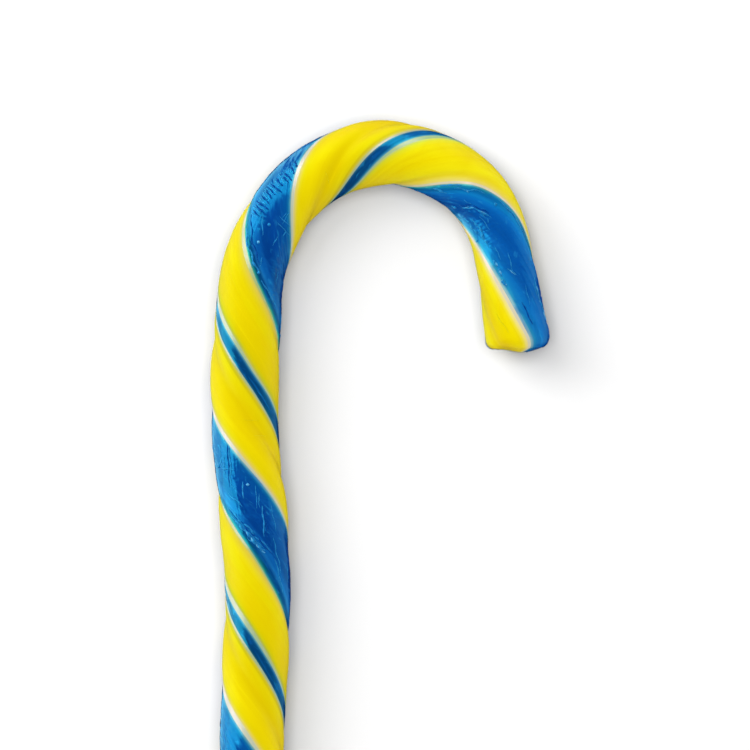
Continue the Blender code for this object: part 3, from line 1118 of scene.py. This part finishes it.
# Painted shade: the bands round 301 are darker for the crease there. Those from 333.5 to 338.5 are darker
# for the groove beside the thin blue, and partly bled blue.
CREASED_BANDS = (
    (232.5, "c6c49a"), (235.0, "cbb972"), (238.0, "d6c24e"), (240.5, "d8c52c"),
    (244.0, "dcc80c"), (251.0, "e0c901"), (262.0, "e4cc01"), (276.0, "e1c701"),
    (296.0, "dabe00"), (301.0, "d8bb00"), (306.0, "dabf00"), (324.0, "dcc803"),
    (330.0, "d8c60a"), (333.5, "c2b010"), (336.5, "bfaf2b"), (338.5, "b7b04c"),
    (340.5, "a0a866"),
)
# Painted shade: the darker golden bands from 276 to 288 stand for the shade on the inside of the first bend.
CREASED_BEND_BANDS = (
    (232.5, "dfd2a0"), (237.0, "e4d27a"), (240.5, "e6d443"), (245.0, "e6d012"),
    (252.0, "e6d002"), (264.0, "e2ca01"), (276.0, "dec001"), (288.0, "dfc001"),
    (301.0, "e2c802"), (312.0, "e4d008"), (324.0, "e4d00a"), (333.5, "d2bd1c"),
    (340.5, "bfb470"),
)


class CANDY_OT_yellow(bpy.types.Operator):
    """Makes the two yellow strands"""

    bl_idname = "candy.make_yellow"
    bl_label = "Yellow strands"

    def execute(self, context):
        sizes = context.scene.cane_sizes
        relief = {
            "Flow Height": sizes.flow_height * 0.5,
            "Flow Width": 1.6,
            "Flow Length": 20.0,
            "Wrinkle Height": sizes.wrinkle_height * 0.4,
        }
        for name, span, bands, bend_bands in (
            ("yellow_strand_broad", BROAD_YELLOW, BROAD_BANDS, BROAD_BEND_BANDS),
            ("yellow_strand_creased", CREASED_YELLOW, CREASED_BANDS, CREASED_BEND_BANDS),
        ):
            sugar = yellow_sugar(name + "_sugar", bands, bend_bands)
            make_strand(name, span, YELLOW_COLUMNS, sugar, relief)
        return {"FINISHED"}


class CANDY_OT_blue(bpy.types.Operator):
    """Makes the wide and the thin blue strand"""

    bl_idname = "candy.make_blue"
    bl_label = "Blue strands"

    def execute(self, context):
        sizes = context.scene.cane_sizes
        relief = {
            "Flow Height": sizes.flow_height * 1.1,
            "Flow Width": 1.2,
            "Scratch Height": sizes.flow_height * 0.8,
            "Wrinkle Height": sizes.wrinkle_height * 1.1,
        }
        sugar = blue_sugar("wide_blue_sugar", WIDE_BANDS, WIDE_BEND_BANDS)
        make_strand("blue_strand_wide", WIDE_BLUE, WIDE_COLUMNS, sugar, relief)
        relief = {
            "Flow Height": sizes.flow_height * 0.5,
            "Flow Width": 0.6,
            "Wrinkle Height": sizes.wrinkle_height * 0.5,
        }
        sugar = blue_sugar("thin_blue_sugar", THIN_BANDS, THIN_BEND_BANDS)
        make_strand("blue_strand_thin", THIN_BLUE, THIN_COLUMNS, sugar, relief)
        return {"FINISHED"}


# Threads that pulling and rolling left standing on the sugar: where each begins and ends (distance from the
# lower end in mm, degrees from facing up), half its width and how far it wavers, both in mm.
BLUE_STROKES = (
    (97.0, -34.0, 89.0, -33.0, 0.16, 0.1),
    (89.2, -33.0, 88.5, -26.0, 0.13, 0.0),
    (89.8, -13.0, 86.8, -13.0, 0.15, 0.05),
    (85.5, 17.0, 80.2, 17.5, 0.17, 0.1),
    (89.0, 8.0, 85.0, 8.0, 0.08, 0.05),
    (92.2, -52.0, 91.8, -27.0, 0.14, 0.1),
    (94.5, -47.0, 91.0, -44.0, 0.12, 0.1),
    (96.0, -55.0, 92.5, -51.0, 0.12, 0.1),
    (89.5, -5.0, 88.9, -5.0, 0.36, 0.0),
    (92.8, -59.0, 92.2, -59.0, 0.26, 0.0),
    (88.0, -40.0, 85.5, -15.0, 0.13, 0.2),
    (86.0, -45.0, 77.5, 30.0, 0.15, 0.2),
    (84.2, -40.0, 78.4, 16.0, 0.12, 0.2),
    (83.2, -30.0, 81.8, -18.0, 0.20, 0.2),
    (81.5, -14.0, 80.2, -4.0, 0.24, 0.3),
    (80.0, -3.0, 78.9, 7.0, 0.22, 0.3),
    (78.9, 8.0, 77.9, 19.0, 0.20, 0.3),
    (80.3, -10.0, 77.4, 19.0, 0.12, 0.5),
    (76.5, 35.0, 70.7, 55.0, 0.14, 0.1),
    (80.0, 33.0, 74.0, 48.0, 0.11, 0.15),
    (86.0, 33.0, 81.0, 40.0, 0.09, 0.1),
    (134.0, -22.0, 131.0, -3.0, 0.10, 0.1),
    (133.4, -3.0, 132.8, -3.0, 0.28, 0.0),
    (135.3, 3.0, 134.7, 40.0, 0.09, 0.15),
    (134.2, 5.0, 133.4, 42.0, 0.09, 0.1),
    (131.0, -40.0, 127.5, -12.0, 0.20, 0.2),
    (128.0, -14.0, 124.5, 15.0, 0.20, 0.2),
    (129.9, -6.0, 129.3, -4.0, 0.32, 0.0),
    (125.0, 12.0, 124.4, 14.0, 0.28, 0.0),
    (123.5, 20.0, 119.0, 60.0, 0.16, 0.1),
    (191.4, 2.0, 190.0, 9.0, 0.24, 0.1),
    (190.6, 7.0, 190.0, 9.0, 0.34, 0.0),
    (189.4, 8.0, 187.9, 13.0, 0.20, 0.2),
    (187.6, 14.0, 186.3, 23.0, 0.20, 0.2),
    (189.5, -20.0, 188.1, -3.0, 0.12, 0.1),
    (182.5, 52.0, 181.9, 52.0, 0.22, 0.0),
    (179.0, 3.0, 176.0, 22.0, 0.15, 0.1),
    (176.0, 21.0, 174.4, 42.0, 0.15, 0.1),
    (177.6, -15.0, 177.0, -15.0, 0.22, 0.0),
    (173.1, 12.0, 172.5, 12.0, 0.22, 0.0),
    (175.0, -10.0, 170.5, 25.0, 0.14, 0.2),
    (184.0, -60.0, 177.0, -25.0, 0.16, 0.2),
    (184.0, 27.0, 177.5, 38.0, 0.24, 0.2),
    (181.0, 42.0, 176.5, 56.0, 0.24, 0.2),
    (173.8, 52.0, 172.6, 58.0, 0.26, 0.1),
    (170.0, 41.0, 167.0, 50.0, 0.22, 0.1),
    (171.5, 5.0, 168.0, 26.0, 0.18, 0.2),
    (197.6, -80.0, 193.5, -64.0, 0.22, 0.1),
    (194.0, -63.0, 190.0, -58.0, 0.16, 0.1),
)
# Thin threads, beads and small bubbles, paler still: their pale colour is painted glint.
BEAD_AND_GLINT_STROKES = (
    (89.4, -5.0, 89.0, -5.0, 0.30, 0.0),
    (92.7, -59.0, 92.3, -59.0, 0.20, 0.0),
    (81.6, -14.0, 80.6, -8.0, 0.12, 0.2),
    (80.2, -4.0, 79.4, 2.0, 0.16, 0.2),
    (79.1, 5.0, 78.3, 11.0, 0.12, 0.2),
    (78.0, 14.0, 77.5, 19.0, 0.10, 0.2),
    (133.3, -3.0, 132.9, -3.0, 0.20, 0.0),
    (129.9, -6.0, 129.3, -4.0, 0.26, 0.0),
    (131.4, -30.0, 130.6, -22.0, 0.10, 0.1),
    (125.0, 12.0, 124.4, 14.0, 0.20, 0.0),
    (191.0, 3.0, 190.6, 6.0, 0.16, 0.1),
    (190.5, 7.0, 189.9, 9.5, 0.28, 0.0),
    (189.0, 9.0, 188.2, 12.0, 0.16, 0.1),
    (187.4, 14.0, 186.8, 17.0, 0.16, 0.1),
    (189.4, -18.0, 188.2, -4.0, 0.07, 0.1),
    (178.8, 4.0, 176.2, 21.0, 0.07, 0.1),
    (175.8, 22.0, 174.6, 38.0, 0.07, 0.1),
    (182.3, 52.0, 181.9, 52.0, 0.16, 0.0),
    (177.4, -15.0, 177.0, -15.0, 0.14, 0.0),
    (172.9, 12.0, 172.5, 12.0, 0.14, 0.0),
    (197.4, -78.0, 194.0, -65.0, 0.16, 0.1),
    (194.0, -64.0, 190.5, -59.0, 0.10, 0.1),
)
# Dark threads of painted shade, laid where the hollows beside the threads are in shade, darker than the
# strand.
PAINTED_SHADE_STROKES = (
    (97.0, -37.5, 88.8, -36.5, 0.14, 0.1),
    (85.5, 21.5, 80.0, 22.0, 0.16, 0.1),
    (85.2, -42.0, 77.0, 33.0, 0.14, 0.2),
    (133.2, -44.0, 126.0, 12.0, 0.16, 0.2),
    (178.2, 3.0, 175.2, 22.0, 0.16, 0.1),
    (175.2, 21.0, 173.6, 42.0, 0.14, 0.1),
    (198.0, -38.0, 194.0, -22.0, 0.15, 0.1),
    (196.5, -74.0, 190.0, -72.0, 0.20, 0.1),
)
# Fine wrinkles on the yellow.
YELLOW_STROKES = (
    (75.8, -33.0, 73.0, -5.0, 0.10, 0.1),
    (124.0, -20.0, 120.0, 5.0, 0.10, 0.1),
    (169.5, -15.0, 161.5, 50.0, 0.09, 0.1),
    (199.0, 8.0, 195.0, 30.0, 0.09, 0.1),
    (100.0, -5.0, 99.7, 25.0, 0.05, 0.1),
    (97.3, 12.0, 97.0, 40.0, 0.05, 0.1),
    (146.2, 0.0, 145.6, 30.0, 0.05, 0.1),
)
# A row of ripples across the blue strand where the bend squeezed it.
RIPPLES_FROM = 133.0  # mm from the lower end
RIPPLES_TO = 143.0
RIPPLE_STEP = 0.85  # mm from crest to crest
RIPPLE_TURNS = (-52.0, -24.0)  # degrees from facing up, at the two ends of a ripple
SCATTERED_STROKES = 70  # short blue threads all round the stick, at random
SCATTER_FROM = 4.0  # mm from the lower end
SCATTER_SHORT = 8.0  # mm short of the tip
SCATTER_CLEARANCE = 12.0  # degrees between the strand's borders and where they begin


def ripples():
    """The crests of the row of ripples, and dark threads of painted shade for the hollows between them, each
    a little different.
    """
    chance = random.Random(12)
    crests, hollows = [], []
    for i in range(int((RIPPLES_TO - RIPPLES_FROM) / RIPPLE_STEP) + 1):
        where = RIPPLES_FROM + RIPPLE_STEP * i + chance.uniform(-0.1, 0.1)
        lean = chance.uniform(-0.3, 0.6)
        start = RIPPLE_TURNS[0] + chance.uniform(-4.0, 6.0)
        end = RIPPLE_TURNS[1] + chance.uniform(-7.0, 3.0)
        crests.append((where + lean, start, where, end, chance.uniform(0.14, 0.2), 0.15))
        where += RIPPLE_STEP / 2
        hollows.append((where + lean, start + 3.0, where, end + 4.0, chance.uniform(0.16, 0.24), 0.15))
    return tuple(crests), tuple(hollows)


def scattered_strokes(stick, count):
    """Short threads strewn over the wide blue strand, mostly along the stick."""
    chance = random.Random(5)
    strokes = []
    for _ in range(count):
        start = chance.uniform(SCATTER_FROM, stick.length - SCATTER_SHORT)
        end = start + chance.uniform(0.8, 3.5)
        angle = chance.uniform(WIDE_BLUE[0] + SCATTER_CLEARANCE, WIDE_BLUE[1] - SCATTER_CLEARANCE)
        turn = angle - float(stick.at(stick.facing, start))
        end_turn = turn + chance.uniform(-8.0, 2.0)
        strokes.append((start, turn, end, end_turn, chance.uniform(0.05, 0.1), 0.1))
    return tuple(strokes)


class CANDY_OT_threads(bpy.types.Operator):
    """Makes the threads and ripples that stand on the blue and yellow sugar, with painted glints on the pale
    ones and dark threads of painted shade for the hollows
    """

    bl_idname = "candy.make_threads"
    bl_label = "Threads"

    def execute(self, context):
        colours = context.scene.cane_colours
        crests, hollows = ripples()
        scattered = scattered_strokes(Stick(context.scene.cane_sizes), SCATTERED_STROKES)
        on_blue = (
            ("blue_threads", BLUE_STROKES + crests + scattered, "blue_thread", 1.6, (0.15, 0.9, 1.0, 1.0)),
            # Real beads and threads whose pale colour is painted glint.
            ("pale_threads", BEAD_AND_GLINT_STROKES, "pale_thread", 1.5, (0.3, 0.85, 1.0, 1.0)),
            # Dark threads of painted shade for the hollows beside the threads and between the ripples.
            ("blue_hollows", PAINTED_SHADE_STROKES + hollows, "blue_hollow", 1.45, (0.08, 0.5, 1.0, 1.0)),
        )
        for name, strokes, colour, ior, tint in on_blue:
            sugar = thread_sugar(colour + "_sugar", getattr(colours, colour), ior, tint)
            make_threads(name, strokes, "blue_strand_wide", sugar, within_wide_blue)
        sugar = thread_sugar("yellow_thread_sugar", colours.yellow_thread, 1.45, (0.4, 1.0, 0.1, 1.0))
        make_threads("yellow_threads", YELLOW_STROKES, "yellow_strand_creased", sugar)
        return {"FINISHED"}


# Stage

# All in metres.
VIEW_CENTRE = (-0.00081, 0.03231)
VIEW_WIDTH = 0.12575
CAMERA_HEIGHT = 1.2  # over the middle of the cane
CAMERA_REACH = 10.0
FLOOR_GAP = 0.00002  # between the cane and the worktop
FLOOR_HALF = 3.0  # half the worktop's width

FLOOR_SHADE = 0.2
WORLD_STRENGTH = 1.07
# Soft lights: name, what they light, azimuth, elevation, distance, width, height and power.
LIGHTS = (
    ("key_softbox", "both", 138.0, 42.0, 1.0, 0.8, 0.8, 1.0),
    ("left_fill", "both", 160.0, 12.0, 1.0, 0.6, 0.4, 1.65),
    ("cane_top_fill", "cane", 88.0, 20.0, 1.0, 0.6, 0.4, 1.2),
    ("cane_right_fill", "cane", 40.0, 14.0, 1.0, 0.6, 0.4, 0.25),
    ("worktop_key", "worktop", 138.0, 42.0, 1.0, 0.8, 0.8, 22.5),
    ("worktop_side", "worktop", 150.0, 28.0, 1.0, 0.5, 0.5, 11.5),
    ("worktop_top", "worktop", 90.0, 89.0, 1.5, 1.0, 1.0, 65.0),
)
SHADOWLESS = "left_fill"
# Reflector cards, seen only as reflections: azimuth, elevation, distance, width, height and brightness.
CARDS = (
    (168.0, 16.0, 0.5, 0.85, 0.5, 1.0),
    (168.0, -36.0, 0.5, 0.85, 0.5, 0.45),
    (106.0, 36.0, 0.5, 0.5, 0.5, 0.9),
    (10.0, -10.0, 0.5, 0.9, 0.7, 0.14),
)
# Each sugar is lit by cards of its own: pieces, the cards' colour and their brightness.
CARD_TINTS = (
    (("blue_strand_wide", "blue_strand_thin", "blue_threads", "pale_threads"), (0.28, 0.86, 0.97), 5.6),
    (("yellow_strand_broad", "yellow_strand_creased", "yellow_threads"), (0.5, 1.0, 0.3), 2.3),
    (("cream_core",), (1.0, 0.74, 0.92), 6.8),
    (("blue_hollows",), (0.28, 0.86, 0.97), 2.0),
)
CANE_PIECES = [name for names, _, _ in CARD_TINTS for name in names]


def area_light(name, azimuth, elevation, distance, size, power, colour=(1.0, 1.0, 1.0), **shown):
    """A softbox that faces the hook. Azimuth is degrees from +X towards +Y."""
    data = bpy.data.lights.new(name, "AREA")
    data.shape = "RECTANGLE"
    data.size, data.size_y = size
    data.energy = power
    data.color = colour
    light = bpy.data.objects.new(name, data)
    bpy.context.scene.collection.objects.link(light)
    turn, rise = math.radians(azimuth), math.radians(elevation)
    way = Vector((math.cos(turn) * math.cos(rise), math.sin(turn) * math.cos(rise), math.sin(rise)))
    light.location = Vector((VIEW_CENTRE[0], VIEW_CENTRE[1], 0.0)) + way * distance
    light.rotation_euler = way.to_track_quat("Z", "Y").to_euler()
    for key, value in shown.items():
        setattr(light, key, value)
    return light


def group_of(name, piece_names):
    """A collection that lists pieces for light linking."""
    group = bpy.data.collections.new(name)
    for piece_name in piece_names:
        group.objects.link(bpy.data.objects[piece_name])
    return group


def add_cards():
    """The reflector cards of each sugar."""
    every_piece = group_of("card_blockers", CANE_PIECES)
    for i, (names, colour, brightness) in enumerate(CARD_TINTS):
        receivers = group_of(f"card_receivers_{i}", names)
        for j, (azimuth, elevation, distance, width, height, share) in enumerate(CARDS):
            size = (width, height)
            power = brightness * share * math.pi * width * height
            card = area_light(
                f"card_{i}_{j}", azimuth, elevation, distance, size, power, colour, visible_diffuse=False
            )
            card.light_linking.receiver_collection = receivers
            card.light_linking.blocker_collection = every_piece


def add_lights():
    """The soft studio lights, each on what it is meant to light."""
    lit = {"worktop": group_of("worktop_only", ["worktop"]), "cane": group_of("cane_only", CANE_PIECES)}
    for name, target, azimuth, elevation, distance, width, height, power in LIGHTS:
        light = area_light(
            name, azimuth, elevation, distance, (width, height), power, visible_glossy=False
        )
        light.data.cycles.use_multiple_importance_sampling = False
        light.data.use_shadow = name != SHADOWLESS
        if target in lit:
            light.light_linking.receiver_collection = lit[target]


def add_worktop():
    """A plain white worktop under the cane. It isn't mirrored in the sugar."""
    mesh = bpy.data.meshes.new("worktop")
    shape = bmesh.new()
    bmesh.ops.create_grid(shape, x_segments=1, y_segments=1, size=FLOOR_HALF)
    bmesh.ops.translate(shape, verts=shape.verts, vec=(0.0, 0.0, -FLOOR_GAP))
    shape.to_mesh(mesh)
    shape.free()
    floor = bpy.data.objects.new("worktop", mesh)
    bpy.context.scene.collection.objects.link(floor)
    material, _, shader = new_material("white_worktop")
    shader.inputs["Base Color"].default_value = (FLOOR_SHADE, FLOOR_SHADE, FLOOR_SHADE, 1.0)
    shader.inputs["Roughness"].default_value = 0.9
    shader.inputs["Specular IOR Level"].default_value = 0.0
    mesh.materials.append(material)
    floor.visible_glossy = False


def add_world():
    """Even white light from all round. It isn't mirrored in the sugar."""
    world = bpy.data.worlds.new("studio")
    world.use_nodes = True
    background = world.node_tree.nodes["Background"]
    background.inputs["Color"].default_value = (1.0, 1.0, 1.0, 1.0)
    background.inputs["Strength"].default_value = WORLD_STRENGTH
    world.cycles_visibility.glossy = False
    bpy.context.scene.world = world


def add_camera():
    """A camera that looks straight down on the hook."""
    data = bpy.data.cameras.new("camera")
    camera = bpy.data.objects.new("camera", data)
    bpy.context.scene.collection.objects.link(camera)
    mid_height = (CAD_BOX[0][2] + CAD_BOX[1][2]) / 2
    camera.location = (VIEW_CENTRE[0], VIEW_CENTRE[1], mid_height + CAMERA_HEIGHT)
    data.lens = data.sensor_width * CAMERA_HEIGHT / VIEW_WIDTH
    data.clip_end = CAMERA_REACH
    bpy.context.scene.camera = camera


class CANDY_OT_stage(bpy.types.Operator):
    """Makes the white worktop, the soft studio light and the camera above the hook"""

    bl_idname = "candy.make_stage"
    bl_label = "Stage"

    def execute(self, context):
        add_worktop()
        add_world()
        add_lights()
        add_cards()
        add_camera()
        context.scene.view_settings.view_transform = "Standard"
        return {"FINISHED"}


STEPS = (CANDY_OT_core, CANDY_OT_yellow, CANDY_OT_blue, CANDY_OT_threads, CANDY_OT_stage)


class CANDY_PT_panel(bpy.types.Panel):
    """Lists the sizes, the colours and the steps in order"""

    bl_label = "Candy cane"
    bl_space_type = "VIEW_3D"
    bl_region_type = "UI"
    bl_category = "Candy cane"

    def draw(self, context):
        for group in (context.scene.cane_sizes, context.scene.cane_colours):
            box = self.layout.box()
            for name in group.__annotations__:
                box.prop(group, name)
        for step in STEPS:
            self.layout.operator(step.bl_idname)


CLASSES = (CaneSizes, CaneColours) + STEPS + (CANDY_PT_panel,)


def register():
    for kind in CLASSES:
        bpy.utils.register_class(kind)
    bpy.types.Scene.cane_sizes = PointerProperty(type=CaneSizes)
    bpy.types.Scene.cane_colours = PointerProperty(type=CaneColours)


def unregister():
    del bpy.types.Scene.cane_colours
    del bpy.types.Scene.cane_sizes
    for kind in reversed(CLASSES):
        bpy.utils.unregister_class(kind)


def main():
    register()
    bpy.ops.candy.make_core()
    bpy.ops.candy.make_yellow()
    bpy.ops.candy.make_blue()
    bpy.ops.candy.make_threads()
    bpy.ops.candy.make_stage()


if __name__ == "__main__":
    main()
